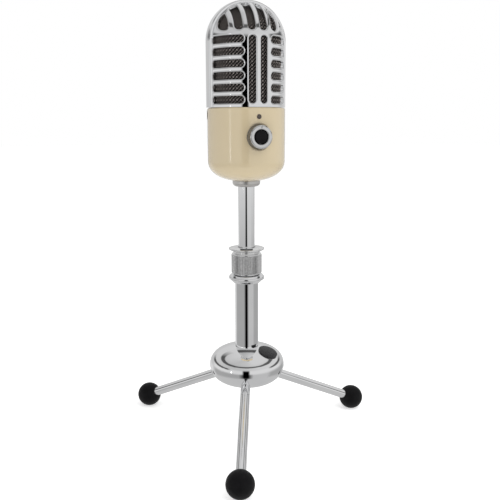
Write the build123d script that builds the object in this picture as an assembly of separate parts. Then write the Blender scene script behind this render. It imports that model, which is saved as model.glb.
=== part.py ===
from build123d import *
import os
from math import asin, cos, degrees, pi, radians, sin, sqrt

# Desktop microphone on a telescopic column and a tripod.
# +Z is up.  The origin is where the column's axis meets the table.
# The microphone's front faces -Y.  Azimuths are counted from -Y towards +X.

# ---- driving sizes, mm -------------------------------------------------
# Tripod
foot_radius = 8.7
foot_flat_radius = 3.0
foot_reach = 89.7
leg_radius = 3.25
leg_wall = 0.8
leg_inner_reach = 12.5
leg_drop_angle = 25.3
tripod_turn = -21.1
leg_names = ("front", "right", "left")

# Hub
hub_radius = 25.8
hub_seam_z = 49.0
hub_top_rise = 14.5
hub_top_power = 2.45
bowl_radius = 25.3
bowl_drop = 13.5
bowl_power = 2.2
shell_wall = 1.5
bowl_floor_z = 36.0
core_radius = 18.5
core_top_z = 55.0
badge_radius = 6.6
badge_reach = 17.0
badge_dome_radius = 60.0
badge_rise = 0.9
bolt_radius = 3.0
bolt_head_radius = 5.5
bolt_head_z = 36.3
bolt_top_z = 50.0
washer_low_z = 39.4
washer_thickness = 1.4
washer_radius = 6.8
bolt_recess_radius = 7.2
bowl_screw_reach = 11.5
grub_radius = 1.5
grub_reach = 15.0
screw_radius = 0.9
head_overhang = 0.75

# Column
lower_tube_radius = 8.0
lower_tube_bore = 6.5
lower_tube_foot_z = 47.0
lower_tube_top_z = 113.0
upper_tube_radius = 5.5
upper_tube_bore = 4.5
upper_tube_foot_z = 89.0
upper_tube_top_z = 174.6
groove_radius = 5.0
groove_low_z = 91.0
groove_high_z = 95.1
plug_top_z = 50.5
stud_radius = 3.95
stud_low_z = 164.0
stud_top_z = 188.0

# Clutch
flange_radius = 12.1
knurl_radius = 10.25
knurl_depth = 0.35
knurl_ridges = 56
knurl_low_z = 115.0
knurl_high_z = 127.6
neck_radius = 8.9
neck_low_z = 129.1
neck_high_z = 129.7
disc_rim_z = 131.5
disc_top_z = 132.8
seat_low_z = 108.3
seat_cone_z = 110.2
seat_rim_z = 111.7
seat_top_z = 114.2
seat_bore = 7.1
spigot_radius = 8.8
spigot_top_z = 124.4
collar_floor_z = 127.0
collet_radius = 6.8
collet_head_radius = 8.3
collet_low_z = 114.0
collet_head_z = 124.7
collet_top_z = 126.7
collet_slit_width = 0.8
running_gap = 0.05
thread_gap = 0.3

# Microphone body
body_radius = 25.4
body_wall = 2.2
body_round_z = 190.8
body_round_drop = 14.0
body_round_power = 2.3
body_floor_z = 177.4
body_top_z = 224.5
ring_radius = 9.2
ring_low_z = 173.5
bush_radius = 6.0
bush_bore = 4.0
bush_flange_radius = 9.0
bush_flange_z = 179.9
bush_flange_top_z = 182.0
bush_top_z = 190.5
boss_radius = 2.8
boss_azimuths = (80, -155, -50)
boss_reach = 14.5

# Grille
grille_radius = 24.6
grille_wall = 1.8
grille_low_z = 224.7
dome_center_z = 265.6
arch_radius = 26.0
arch_half_width = 4.7
slot_height = 4.55
side_slot_low_z = 229.1
side_slot_pitch = 7.28
side_slot_count = 6
side_slot_azimuths = (21.4, 78.8)
column_pitch = 7.7
front_slot_width = 4.6
front_slot_low_z = 226.9
front_slot_high_z = 267.6
dome_slot_width = 4.8
dome_slot_low_z = 270.8
dome_slot_margin = 1.2

# Volume knob and mute button, on an axis along Y
knob_z = 206.35
knob_back_y = -24.9
knob_face_y = -30.2
knob_back_radius = 8.05
knob_face_radius = 7.1
knob_ridges = 48
knob_knurl_depth = 0.22
knob_spot_radius = 8.7
knob_sleeve_radius = 5.0
knob_sleeve_back_y = -22.2
button_radius = 4.05
button_travel = 0.8
button_back_y = -27.6
knob_recess_y = button_back_y + button_travel + 0.2
button_dome_radius = 20.0
button_stem_radius = 2.2
button_stem_back_y = -18.0
plunger_radius = 1.1
plunger_back_y = -16.1
shaft_radius = 3.4
shaft_bore = 2.5
shaft_back_y = -18.2
control_front_y = -21.6
control_back_y = -14.5

# Sockets and lamp
jack_azimuth = -105.0
jack_z = 220.0
jack_radius = 3.0
jack_bore_radius = 1.8
jack_depth = 14.0
lamp_z = 218.8
lamp_radius = 1.5
board_low_z = 215.4
board_thickness = 1.6
board_radius = 21.5
standoff_radius = 2.2
standoff_screw_radius = 1.1
board_top_z = board_low_z + board_thickness
usb_z = 219.0
bulkhead_radius = 22.6
bulkhead_low_z = 223.3
bulkhead_thickness = 1.8
bulkhead_top_z = bulkhead_low_z + bulkhead_thickness
front_lug_azimuths = (-22, 45)
lug_azimuths = (-22, 45, 135, -158)
lug_reach = 20.3
lug_half_width = 2.6
lug_low_z = 221.4

# Inside the grille
capsule_radius = 8.0
capsule_z = 246.0
cradle_radius = 10.2
lead_radius = 0.8
mesh_gap = 0.1
mesh_thickness = 0.5
foam_gap = 0.1
foam_thickness = 2.5


# ---- helpers -----------------------------------------------------------
def along(azimuth, reach, height):
    """A point at a reach from the column's axis, in a direction."""
    turn = radians(azimuth)
    return (reach * sin(turn), -reach * cos(turn), height)


def rod(radius, low, high, x=0, y=0):
    """An upright cylinder between two heights."""
    return Pos(x, y, (low + high) / 2) * Cylinder(radius, high - low)


def pipe(outer, inner, low, high, x=0, y=0):
    """An upright tube between two heights."""
    return rod(outer, low, high, x, y) - rod(inner, low - 1, high + 1, x, y)


def rod_y(radius, front, back, x=0, z=0):
    """A cylinder along Y between two values of y."""
    return Pos(x, (front + back) / 2, z) * Rot(90, 0, 0) * Cylinder(radius, back - front)


def block(x_low, x_high, y_low, y_high, z_low, z_high):
    """A box between three pairs of limits."""
    middle = Pos((x_low + x_high) / 2, (y_low + y_high) / 2, (z_low + z_high) / 2)
    return middle * Box(x_high - x_low, y_high - y_low, z_high - z_low)


def turned(*corners):
    """A solid of revolution about Z, from corners given as (radius, height)."""
    outline = Polyline(*[(radius, 0, height) for radius, height in corners], close=True)
    return revolve(make_face(outline), Axis.Z)


def oval_height(radius, width, rise, power):
    """Height of a superellipse above its middle, at a radius."""
    return rise * (1 - (radius / width) ** power) ** (1 / power)


def oval_points(width, rise, power, middle, inner_radius, steps=14):
    """Points along a superellipse, from its rim in to a radius."""
    points = []
    stop = degrees(asin((1 - (inner_radius / width) ** power) ** 0.5))
    for step in range(steps + 1):
        turn = radians(stop * step / steps)
        height = middle + rise * sin(turn) ** (2 / power)
        points.append((width * cos(turn) ** (2 / power), 0, height))
    return points


def oval_shell(outer, inner, middle, power, hole):
    """A revolved bowl between two superellipses, each given as (width, rise)."""
    outside = oval_points(*outer, power, middle, hole)
    inside = oval_points(*inner, power, middle, hole)
    outline = Spline(*outside) + Line(outside[-1], inside[-1])
    outline += Spline(*inside) + Line(inside[0], outside[0])
    return revolve(make_face(outline), Axis.Z)


def capped_column(radius, low, middle):
    """A cylinder from a height up to a hemisphere's middle, with the hemisphere on it."""
    top = (0, 0, middle + radius)
    shoulder = (radius, 0, middle)
    halfway = (radius * cos(pi / 4), 0, middle + radius * sin(pi / 4))
    outline = Line((0, 0, low), (radius, 0, low)) + Line((radius, 0, low), shoulder)
    outline += ThreePointArc(shoulder, halfway, top) + Line(top, (0, 0, low))
    return revolve(make_face(outline), Axis.Z)


def ridged_face(radius, depth, ridges):
    """A disc with a saw-toothed rim, for a straight knurl."""
    corners = []
    for step in range(2 * ridges):
        reach = radius - depth * (step % 2)
        turn = pi * step / ridges
        corners.append((reach * cos(turn), reach * sin(turn)))
    return make_face(Polyline(*corners, close=True))


def countersink(radius, length):
    """The shape of a countersunk screw: its head's face is at z = 0 and it points down."""
    head = radius + head_overhang
    return turned((0, 0), (head, 0), (radius, -head_overhang), (radius, -length), (0, -length))


def flat_screw(radius, length):
    """A countersunk screw with a straight slot."""
    slot = Box(2 * (radius + head_overhang), 0.4, 0.8)
    return countersink(radius, length) - slot


def save(shape, name):
    export_step(shape, f"parts/{name}.step")


# ---- tripod ------------------------------------------------------------
foot_center_z = sqrt(foot_radius**2 - foot_flat_radius**2)
leg_slope = radians(leg_drop_angle)


def leg_height(reach):
    """Height of a leg's axis at a reach from the column."""
    return foot_center_z + (foot_reach - reach) * sin(leg_slope) / cos(leg_slope)


def leg_bar(radius, inner, outer):
    """A straight bar along the front leg's line, between two reaches."""
    length = (outer - inner) / cos(leg_slope)
    middle = (inner + outer) / 2
    place = Pos(0, -middle, leg_height(middle))
    return place * Rot(90 + leg_drop_angle, 0, 0) * Cylinder(radius, length)


def leg_azimuth(number):
    return tripod_turn + 120 * number


def turned_to_leg(shape, number):
    """A shape made on the -Y side, turned to a leg's azimuth."""
    return Rot(0, 0, leg_azimuth(number)) * shape


def make_leg():
    """A plain tube, open at both ends."""
    outer_end = foot_reach + 2.5
    outside = leg_bar(leg_radius, leg_inner_reach, outer_end)
    return outside - leg_bar(leg_radius - leg_wall, leg_inner_reach - 2, outer_end + 2)


def make_foot():
    """A rubber ball with a blind hole for the leg and a small flat to stand on."""
    ball = Pos(0, -foot_reach, foot_center_z) * Sphere(foot_radius)
    ball -= leg_bar(leg_radius, foot_reach - 2 * foot_radius, foot_reach + 2.5)
    return ball - Pos(0, -foot_reach, -5) * Box(40, 40, 10)


# ---- hub ---------------------------------------------------------------
def bowl_solid(shrink):
    """The bowl's shape, filled, and smaller all round by a thickness."""
    rim = (bowl_radius - shrink, bowl_drop - shrink)
    points = oval_points(*rim, bowl_power, 0, 0)
    lowered = [(radius, 0, hub_seam_z - height) for radius, _, height in points]
    outline = Spline(*lowered) + Line(lowered[-1], (0, 0, hub_seam_z))
    outline += Line((0, 0, hub_seam_z), lowered[0])
    return revolve(make_face(outline), Axis.Z)


def make_hub_top():
    """The upper shell, with a hole for the column."""
    outer = (hub_radius, hub_top_rise)
    inner = (hub_radius - shell_wall, hub_top_rise - shell_wall)
    return oval_shell(outer, inner, hub_seam_z + 0.1, hub_top_power, lower_tube_radius)


def make_hub_bowl():
    """The lower shell, with three leg holes and a bolt hole."""
    bowl = bowl_solid(0) - bowl_solid(shell_wall)
    bowl -= rod(bolt_recess_radius, 0, hub_seam_z)
    bowl -= rod(bowl_radius, 0, bowl_floor_z)
    for number in range(3):
        bowl -= turned_to_leg(bowl_screw_place() * countersink(screw_radius, 6), number)
    for number in range(3):
        bowl -= turned_to_leg(leg_bar(leg_radius, leg_inner_reach, 2 * bowl_radius), number)
    return bowl


def make_hub_core():
    """The cast weight that the legs and the column are held in."""
    core = bowl_solid(shell_wall) & rod(core_radius, 0, hub_seam_z)
    core += rod(core_radius, hub_seam_z, core_top_z)
    core -= rod(lower_tube_radius, lower_tube_foot_z, core_top_z + 1)
    core -= rod(bolt_radius + 0.2, 0, core_top_z)
    core -= rod(bolt_recess_radius, 0, washer_low_z + washer_thickness)
    for number in range(3):
        core -= turned_to_leg(bowl_screw_place() * countersink(screw_radius, 6), number)
        core -= turned_to_leg(leg_bar(leg_radius, leg_inner_reach, 2 * bowl_radius), number)
        screw_hole = rod(grub_radius, leg_height(grub_reach), core_top_z + 1, 0, -grub_reach)
        core -= turned_to_leg(screw_hole, number)
    return core


def make_grub_screws():
    """One set screw over each leg's inner end."""
    low = leg_height(grub_reach) + leg_radius / cos(leg_slope) + 0.8
    screw = rod(grub_radius, low, low + 5, 0, -grub_reach)
    screw -= rod(0.8, low + 3, low + 6, 0, -grub_reach)
    return Compound([turned_to_leg(screw, number) for number in range(3)])


def bowl_screw_place():
    """Where a bowl screw's head lies: halfway between two legs, facing down."""
    x, y, _ = along(60, bowl_screw_reach, 0)
    drop = oval_height(bowl_screw_reach, bowl_radius, bowl_drop, bowl_power)
    return Pos(x, y, hub_seam_z - drop + 0.15) * Rot(180, 0, 0)


def make_bowl_screws():
    """Three screws that hold the bowl to the core."""
    screw = bowl_screw_place() * flat_screw(screw_radius, 5.5)
    return Compound([turned_to_leg(screw, number) for number in range(3)])


def make_hub_bolt():
    """A hexagon-headed bolt that clamps the core to the column's plug."""
    hexagon = RegularPolygon(bolt_head_radius, 6)
    head = Pos(0, 0, bolt_head_z) * extrude(hexagon, washer_low_z - bolt_head_z)
    return head + rod(bolt_radius, washer_low_z, bolt_top_z)


def make_badge():
    """A plain round plate, slightly domed, that lies on the upper shell between two legs."""
    height = hub_seam_z + 0.1 + oval_height(badge_reach, hub_radius, hub_top_rise, hub_top_power)
    step = 0.5
    lower = oval_height(badge_reach + step, hub_radius, hub_top_rise, hub_top_power)
    upper = oval_height(badge_reach - step, hub_radius, hub_top_rise, hub_top_power)
    lean = degrees(asin((upper - lower) / sqrt((upper - lower) ** 2 + (2 * step) ** 2)))
    plate = Cylinder(badge_radius, 5)
    cap = Pos(0, 0, -badge_dome_radius) * Sphere(badge_dome_radius + badge_rise)
    disc = Pos(0, -badge_reach, height) * Rot(lean, 0, 0) * (plate & cap)
    disc = Rot(0, 0, tripod_turn + 60) * disc
    filled = (hub_radius, hub_top_rise)
    points = oval_points(*filled, hub_top_power, hub_seam_z + 0.1, 0)
    middle = (0, 0, bowl_floor_z)
    edge = (hub_radius, 0, bowl_floor_z)
    outline = Spline(*points) + Line(points[-1], middle)
    outline += Line(middle, edge) + Line(edge, points[0])
    return disc - revolve(make_face(outline), Axis.Z)


# ---- column and clutch -------------------------------------------------
def make_clutch_seat():
    """The turned ring on the lower tube's top, with the spigot that the collar runs on."""
    tube = lower_tube_radius
    return turned(
        (tube, seat_low_z), (tube + 1.2, seat_low_z), (flange_radius - 1.1, seat_cone_z),
        (flange_radius, seat_rim_z - 0.8), (flange_radius, seat_rim_z + 0.6),
        (flange_radius - 1.3, seat_top_z - 0.5), (spigot_radius, seat_top_z),
        (spigot_radius, spigot_top_z), (seat_bore, spigot_top_z),
        (seat_bore, lower_tube_top_z), (tube, lower_tube_top_z),
    )


def make_clutch_collar():
    """The knurled nut with its wide top disc."""
    grip = Pos(0, 0, knurl_low_z) * extrude(
        ridged_face(knurl_radius, knurl_depth, knurl_ridges), knurl_high_z - knurl_low_z
    )
    envelope = turned(
        (0, knurl_low_z), (knurl_radius - 0.9, knurl_low_z),
        (knurl_radius, knurl_low_z + 1.6), (knurl_radius, knurl_high_z), (0, knurl_high_z),
    )
    shoulder = knurl_radius - 0.2
    top = turned(
        (0, knurl_high_z), (shoulder, knurl_high_z), (shoulder, knurl_high_z + 0.4),
        (neck_radius, neck_low_z), (neck_radius, neck_high_z), (flange_radius - 1.3, 130.4),
        (flange_radius, disc_rim_z - 0.4), (flange_radius, disc_rim_z + 0.4),
        (neck_radius, disc_top_z), (neck_radius - 2, disc_top_z - 0.2), (0, disc_top_z - 0.2),
    )
    collar = (grip & envelope) + top
    collar -= rod(spigot_radius + thread_gap, seat_low_z, collar_floor_z)
    return collar - rod(upper_tube_radius + 0.4, seat_low_z, disc_top_z + 1)


def make_clutch_collet():
    """The split plastic sleeve that grips the upper tube."""
    bore = upper_tube_radius + running_gap
    collet = turned(
        (bore, collet_low_z), (collet_radius, collet_low_z), (collet_radius, collet_head_z),
        (collet_head_radius, collet_head_z), (collet_head_radius, collet_top_z),
        (bore, collet_top_z),
    )
    half = collet_slit_width / 2
    slit = block(-2 * bore, 2 * bore, -half, half, collet_low_z - 1, collet_head_z - 2.7)
    for turn in (0, 60, 120):
        collet -= Rot(0, 0, turn) * slit
    return collet


def make_upper_tube():
    """The polished tube, with a groove near its foot for the glide ring."""
    tube = pipe(upper_tube_radius, upper_tube_bore, upper_tube_foot_z, upper_tube_top_z)
    groove = rod(upper_tube_radius + 1, groove_low_z, groove_high_z)
    return tube - (groove - rod(groove_radius, groove_low_z - 1, groove_high_z + 1))


def make_glide_ring():
    """A split nylon ring that runs in the lower tube and turns in the upper tube's groove."""
    low = groove_low_z + running_gap
    high = groove_high_z - running_gap
    outer = lower_tube_bore - running_gap
    ring = pipe(outer, groove_radius + running_gap, low, high)
    return ring - block(-0.6, 0.6, 0, 2 * outer, low - 1, high + 1)


def make_tube_stud():
    """The threaded plug in the upper tube's top."""
    plug = rod(upper_tube_bore, stud_low_z, upper_tube_top_z)
    return plug + rod(stud_radius, upper_tube_top_z, stud_top_z)


# ---- microphone body ---------------------------------------------------
def make_body_shell():
    """The moulded cup, with board posts, a spot face for the knob and the openings."""
    outer = (body_radius, body_round_drop)
    points = oval_points(*outer, body_round_power, 0, ring_radius)
    curve = [(radius, 0, body_round_z - height) for radius, _, height in points]
    inner = (body_radius - body_wall, body_round_drop - body_wall)
    points = oval_points(*inner, body_round_power, 0, 0)
    hollow = [(radius, 0, body_round_z - height) for radius, _, height in points]
    rim = 0.7
    outline = Line((0, 0, curve[-1][2]), curve[-1]) + Spline(*curve)
    outline += Line(curve[0], (body_radius, 0, body_top_z - rim))
    outline += Line((body_radius, 0, body_top_z - rim), (body_radius - rim, 0, body_top_z))
    outline += Line((body_radius - rim, 0, body_top_z), (0, 0, body_top_z))
    outline += Line((0, 0, body_top_z), (0, 0, curve[-1][2]))
    body = revolve(make_face(outline), Axis.Z)
    bore = Spline(*hollow) + Line(hollow[-1], (0, 0, body_top_z + 1))
    bore += Line((0, 0, body_top_z + 1), (hollow[0][0], 0, body_top_z + 1))
    bore += Line((hollow[0][0], 0, body_top_z + 1), hollow[0])
    body -= revolve(make_face(bore), Axis.Z)
    body += rod(bush_flange_radius + 0.5, bush_flange_z - 1.4, bush_flange_z)
    for azimuth in boss_azimuths:
        x, y, _ = along(azimuth, boss_reach, 0)
        body += rod(boss_radius, bush_flange_z + 0.4, board_low_z, x, y)
        body -= rod(standoff_screw_radius, board_low_z - 8, board_low_z + 1, x, y)
    outside = -body_radius - 1
    inside = -body_radius + 10
    body -= rod(bush_radius + running_gap, ring_low_z, bush_flange_top_z)
    body -= rod_y(knob_spot_radius, outside, knob_back_y + 0.3, z=knob_z)
    body -= rod_y(knob_sleeve_radius + 0.4, outside, inside, z=knob_z)
    body -= rod_y(lamp_radius, outside, inside, z=lamp_z)
    body -= Rot(0, 0, jack_azimuth) * rod_y(jack_radius + running_gap, outside, inside, z=jack_z)
    return body - block(-4.4, 4.4, -inside, -outside, usb_z - 2.5, usb_z + 2.5)


def make_stem_insert():
    """The brass bush in the cup's floor, with a flange inside."""
    bush = rod(bush_radius, upper_tube_top_z + 0.1, bush_top_z)
    bush += rod(bush_flange_radius, bush_flange_z, bush_flange_top_z)
    return bush - rod(bush_bore, ring_low_z, bush_top_z + 1)


def make_base_ring():
    """The round nut under the cup."""
    ring = turned(
        (0, ring_low_z), (ring_radius - 2, ring_low_z), (ring_radius - 0.6, ring_low_z + 0.8),
        (ring_radius, ring_low_z + 1.8), (ring_radius, body_floor_z), (0, body_floor_z),
    )
    ring -= rod(bush_radius + running_gap, upper_tube_top_z, body_floor_z + 1)
    return ring - rod(upper_tube_radius + running_gap, ring_low_z - 1, body_floor_z)


# ---- volume knob and mute button ---------------------------------------
def make_volume_knob():
    """A tapered metal ring with a fine knurl, a pointer notch and a sleeve behind."""
    depth = knob_back_y - knob_face_y
    recess = (button_radius + 0.4, depth - 0.6)
    rim = (button_radius + 0.9, depth)
    blank = extrude(ridged_face(knob_back_radius, knob_knurl_depth, knob_ridges), depth)
    taper = turned(
        (0, 0), (knob_back_radius - 0.3, 0), (knob_back_radius, 0.4),
        (knob_face_radius + 0.25, depth - 0.7), (knob_face_radius - 0.4, depth),
        rim, recess, (0, depth - 0.6),
    )
    smooth = turned(
        (0, depth - 1.5), (knob_face_radius - 0.1, depth - 1.5),
        (knob_face_radius - 0.1, depth - 0.65), (knob_face_radius - 0.4, depth),
        rim, recess, (0, depth - 0.6),
    )
    front = knob_face_y - 1
    ring = Pos(0, knob_back_y, knob_z) * Rot(90, 0, 0) * ((blank & taper) + smooth)
    ring += rod_y(knob_sleeve_radius, knob_back_y, knob_sleeve_back_y, z=knob_z)
    ring -= rod_y(button_radius + 0.3, front, knob_recess_y, z=knob_z)
    ring -= rod_y(shaft_radius, front, knob_sleeve_back_y + 1, z=knob_z)
    return ring - block(-0.35, 0.35, front, knob_face_y + 0.5, knob_z + 5.6, knob_z + 9)


def make_knob_shaft():
    """The hollow shaft that the knob is pressed on."""
    tube = rod_y(shaft_radius, knob_recess_y + 0.2, shaft_back_y, z=knob_z)
    return tube - rod_y(shaft_bore, knob_face_y, shaft_back_y + 1, z=knob_z)


def make_mute_button():
    """A domed cap on a stem that runs inside the knob's shaft."""
    face = knob_face_y - 0.25
    cap = rod_y(button_radius, face, button_back_y, z=knob_z)
    cap &= Pos(0, face + button_dome_radius, knob_z) * Sphere(button_dome_radius)
    return cap + rod_y(button_stem_radius, button_back_y, button_stem_back_y, z=knob_z)


def make_switch_plunger():
    return rod_y(plunger_radius, button_stem_back_y, plunger_back_y, z=knob_z)


def make_volume_control():
    """The square housing behind the wall, open at its back for the switch."""
    housing = block(-7, 7, control_front_y, control_back_y, knob_z - 7, knob_z + 7)
    housing -= block(-5, 5, shaft_back_y + 0.4, control_back_y + 1, knob_z - 5, knob_z + 5)
    return housing - rod_y(shaft_radius + thread_gap, knob_face_y, plunger_back_y, z=knob_z)


def make_mute_switch():
    switch = block(-2.3, 2.3, plunger_back_y - 0.8, control_back_y, knob_z - 2.3, knob_z + 2.3)
    hole_back = plunger_back_y + button_travel + 0.1
    return switch - rod_y(plunger_radius + thread_gap, button_stem_back_y, hole_back, z=knob_z)


# ---- boards, sockets and lamp ------------------------------------------
def make_main_board():
    """The round board on the cup's posts."""
    board = rod(board_radius, board_low_z, board_top_z)
    for azimuth in boss_azimuths:
        x, y, _ = along(azimuth, boss_reach, 0)
        board -= rod(standoff_screw_radius + 0.2, board_low_z - 1, board_top_z + 1, x, y)
    return board


def make_headphone_jack():
    """A 3.5 mm socket: a block on the board and a bushing through the wall."""
    tip = body_radius + 0.1
    jack = block(-3.2, 3.2, -22.8, -10.6, board_top_z, board_top_z + 6.0)
    jack += rod_y(jack_radius, -tip, -22.0, z=jack_z)
    jack -= rod_y(jack_bore_radius, -tip - 1, -tip + jack_depth, z=jack_z)
    return Rot(0, 0, jack_azimuth) * jack


def make_usb_shell():
    """The folded metal shell of the USB socket, with its mouth at the back wall."""
    shell = block(-3.85, 3.85, 14.6, 24.9, board_top_z, board_top_z + 3.9)
    return shell - block(-3.45, 3.45, 15.2, 26, board_top_z + 0.4, board_top_z + 3.5)


def make_usb_tongue():
    block_low = board_top_z + 0.4
    tongue = block(-3.45, 3.45, 15.2, 17.0, block_low, block_low + 3.1)
    return tongue + block(-2.6, 2.6, 17.0, 23.6, block_low + 1.1, block_low + 2.1)


def make_lamp():
    return rod_y(lamp_radius, -21.0, -16.0, z=lamp_z) + rod_y(1.75, -16.8, -16.0, z=lamp_z)


def make_lamp_lens():
    """A clear light pipe, domed where it shows."""
    pipe_body = rod_y(lamp_radius, -26.2, -21.0, z=lamp_z)
    return pipe_body & (Pos(0, -20.9, lamp_z) * Sphere(4.95))


def make_standoffs():
    """Posts between the board and the bulkhead, over the cup's own posts."""
    posts = []
    for azimuth in boss_azimuths:
        x, y, _ = along(azimuth, boss_reach, 0)
        post = pipe(standoff_radius, screw_radius, board_top_z, bulkhead_low_z, x, y)
        post += rod(standoff_screw_radius, board_low_z - 5, board_top_z + 2.0, x, y)
        posts.append(post)
    return Compound(posts)


# ---- inside the grille -------------------------------------------------
def screw_row(azimuths, reach, length):
    """Countersunk screws in the bulkhead's top, one at each azimuth."""
    places = [Pos(*along(azimuth, reach, bulkhead_top_z)) for azimuth in azimuths]
    return Compound([place * flat_screw(screw_radius, length) for place in places])


def make_bulkhead():
    """The disc that closes the cup and carries the capsule."""
    disc = rod(bulkhead_radius, bulkhead_low_z, bulkhead_top_z)
    for azimuth in boss_azimuths:
        disc -= Pos(*along(azimuth, boss_reach, bulkhead_top_z)) * countersink(screw_radius, 4)
    for azimuth in lug_azimuths:
        disc -= Pos(*along(azimuth, lug_reach, bulkhead_top_z)) * countersink(screw_radius, 4)
    return disc - rod(1.3, bulkhead_low_z - 1, bulkhead_top_z + 1, 4, 8)


def make_capsule():
    """The pressure capsule, facing the front."""
    can = rod_y(capsule_radius, -5.0, 2.0, z=capsule_z)
    return can - rod_y(capsule_radius - 1.8, -6, -4.2, z=capsule_z)


def make_capsule_cradle():
    """A soft ring round the capsule on a post from the bulkhead."""
    ring = rod_y(cradle_radius, -4.0, 1.2, z=capsule_z)
    post = rod(3.0, bulkhead_top_z, capsule_z - capsule_radius, 0, -1.4)
    foot = rod(6.0, bulkhead_top_z, bulkhead_top_z + 2.0, 0, -1.4)
    return (ring + post + foot) - rod_y(capsule_radius, -6, 3, z=capsule_z)


def make_capsule_lead():
    """The screened lead from the capsule's back down through the bulkhead to the board."""
    route = FilletPolyline((0, 2.0, capsule_z), (0, 8.0, capsule_z), (4, 8, 230.0),
                           (4, 8, board_top_z), radius=3.0)
    start = Plane(origin=(0, 2.0, capsule_z), z_dir=(0, 1, 0))
    return sweep(start * Circle(lead_radius), path=route)


def make_mesh_basket():
    """The woven screen behind the slots, as one thin cap."""
    low = bulkhead_top_z + mesh_gap
    outer = grille_radius - grille_wall - mesh_gap
    cap = capped_column(outer, low, dome_center_z)
    return cap - capped_column(outer - mesh_thickness, low - 1, dome_center_z)


def make_foam_liner():
    """The soft wind screen inside the mesh."""
    low = bulkhead_top_z + mesh_gap
    outer = grille_radius - grille_wall - mesh_gap - mesh_thickness - foam_gap
    cap = capped_column(outer, low, dome_center_z)
    return cap - capped_column(outer - foam_thickness, low - 1, dome_center_z)


# ---- grille ------------------------------------------------------------
cut_front_y = -grille_radius - 5
cut_back_y = -grille_radius + 6


def side_slot(height, mirrored):
    """A round-ended slot that runs round the grille's side."""
    start, stop = side_slot_azimuths
    half = slot_height / 2
    inset = degrees(asin(half / grille_radius))
    first = start + inset
    last = stop - inset
    low = height - half
    high = height + half
    corners = [(0, cut_front_y, low), (0, cut_back_y, low), (0, cut_back_y, high), (0, cut_front_y, high)]
    outline = Polyline(*corners, close=True)
    band = Rot(0, 0, first) * revolve(make_face(outline), Axis.Z, last - first)
    end = rod_y(half, cut_front_y, cut_back_y, z=height)
    slot = band + Rot(0, 0, first) * end + Rot(0, 0, last) * end
    return mirror(slot, Plane.YZ) if mirrored else slot


def front_slot(x):
    """A tall round-ended slot in the front."""
    half = front_slot_width / 2
    low = front_slot_low_z + half
    high = front_slot_high_z - half
    slot = block(x - half, x + half, cut_front_y, cut_back_y, low, high)
    for height in (low, high):
        slot += rod_y(half, cut_front_y, cut_back_y, x, height)
    return slot


def dome_slot(x):
    """A slot over the dome, in an upright plane, from the shoulder to just short of the arch."""
    half = dome_slot_width / 2
    low = dome_slot_low_z + half
    high = dome_center_z + grille_radius + 1
    back = -arch_half_width - dome_slot_margin - half
    slot = block(x - half, x + half, cut_front_y, back, low, high)
    slot += rod(half, low, high, x, back)
    return slot + rod_y(half, cut_front_y, back, x, low)


def make_front_grille():
    """One half of the grille, with its slots and its fixing lugs."""
    outer = capped_column(grille_radius, grille_low_z, dome_center_z)
    inner = capped_column(grille_radius - grille_wall, grille_low_z - 1, dome_center_z)
    reach = grille_radius + 1
    half = block(-reach, reach, -reach, -0.05, lug_low_z, dome_center_z + reach)
    shell = (outer - inner) & half
    cutters = []
    for number in range(side_slot_count):
        height = side_slot_low_z + number * side_slot_pitch
        cutters += [side_slot(height, False), side_slot(height, True)]
    for column in (-0.5, 0.5):
        cutters.append(front_slot(column * column_pitch))
    for column in (-2.5, -1.5, -0.5, 0.5, 1.5, 2.5):
        cutters.append(dome_slot(column * column_pitch))
    for cutter in cutters:
        shell -= cutter
    bore = grille_radius - grille_wall
    shell += pipe(bore + 0.35, bore, bulkhead_low_z, grille_low_z + 1.0) & half
    for azimuth in front_lug_azimuths:
        wide = lug_half_width
        lug = block(-wide, wide, -bore, -18.0, lug_low_z, bulkhead_low_z)
        lug += block(-wide, wide, -bore - 0.2, -bore + 0.1, lug_low_z, bulkhead_low_z + 1)
        lug -= rod(screw_radius, lug_low_z - 1, bulkhead_top_z, 0, -lug_reach)
        shell += Rot(0, 0, azimuth) * lug
    return shell


def make_arch_band():
    """The smooth band over the joint between the two grille halves."""
    outer = capped_column(arch_radius, grille_low_z, dome_center_z)
    inner = capped_column(grille_radius, grille_low_z - 1, dome_center_z)
    reach = arch_radius + 1
    wide = arch_half_width
    band = (outer - inner) & block(-reach, reach, -wide, wide, lug_low_z, dome_center_z + reach)
    edges = [edge for edge in band.edges() if edge.center().Z > grille_low_z + 5 and outer_edge(edge)]
    return fillet(edges, 0.6)


def outer_edge(edge):
    """True for an edge on the band's outer skin."""
    point = edge @ 0.5
    rise = max(point.Z - dome_center_z, 0)
    return abs(sqrt(point.X**2 + point.Y**2 + rise**2) - arch_radius) < 0.05


# ---- write every piece -------------------------------------------------
os.makedirs("parts", exist_ok=True)

for number, name in enumerate(leg_names):
    save(turned_to_leg(make_leg(), number), f"leg_{name}")
    save(turned_to_leg(make_foot(), number), f"foot_{name}")

save(make_hub_top(), "hub_top_shell")
save(make_hub_bowl(), "hub_bowl")
save(make_hub_core(), "hub_core")
save(make_grub_screws(), "leg_grub_screws")
save(make_hub_bolt(), "hub_bolt")
washer_top_z = washer_low_z + washer_thickness
save(pipe(washer_radius, bolt_radius + 0.1, washer_low_z, washer_top_z), "hub_washer")
save(make_bowl_screws(), "bowl_screws")
save(make_badge(), "hub_badge")

save(pipe(lower_tube_radius, lower_tube_bore, lower_tube_foot_z, lower_tube_top_z), "lower_tube")
save(pipe(lower_tube_bore, bolt_radius, lower_tube_foot_z, plug_top_z), "lower_tube_plug")
save(make_clutch_seat(), "clutch_seat")
save(make_clutch_collar(), "clutch_collar")
save(make_clutch_collet(), "clutch_collet")
save(make_upper_tube(), "upper_tube")
save(make_glide_ring(), "glide_ring")
save(make_tube_stud(), "tube_stud")

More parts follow.
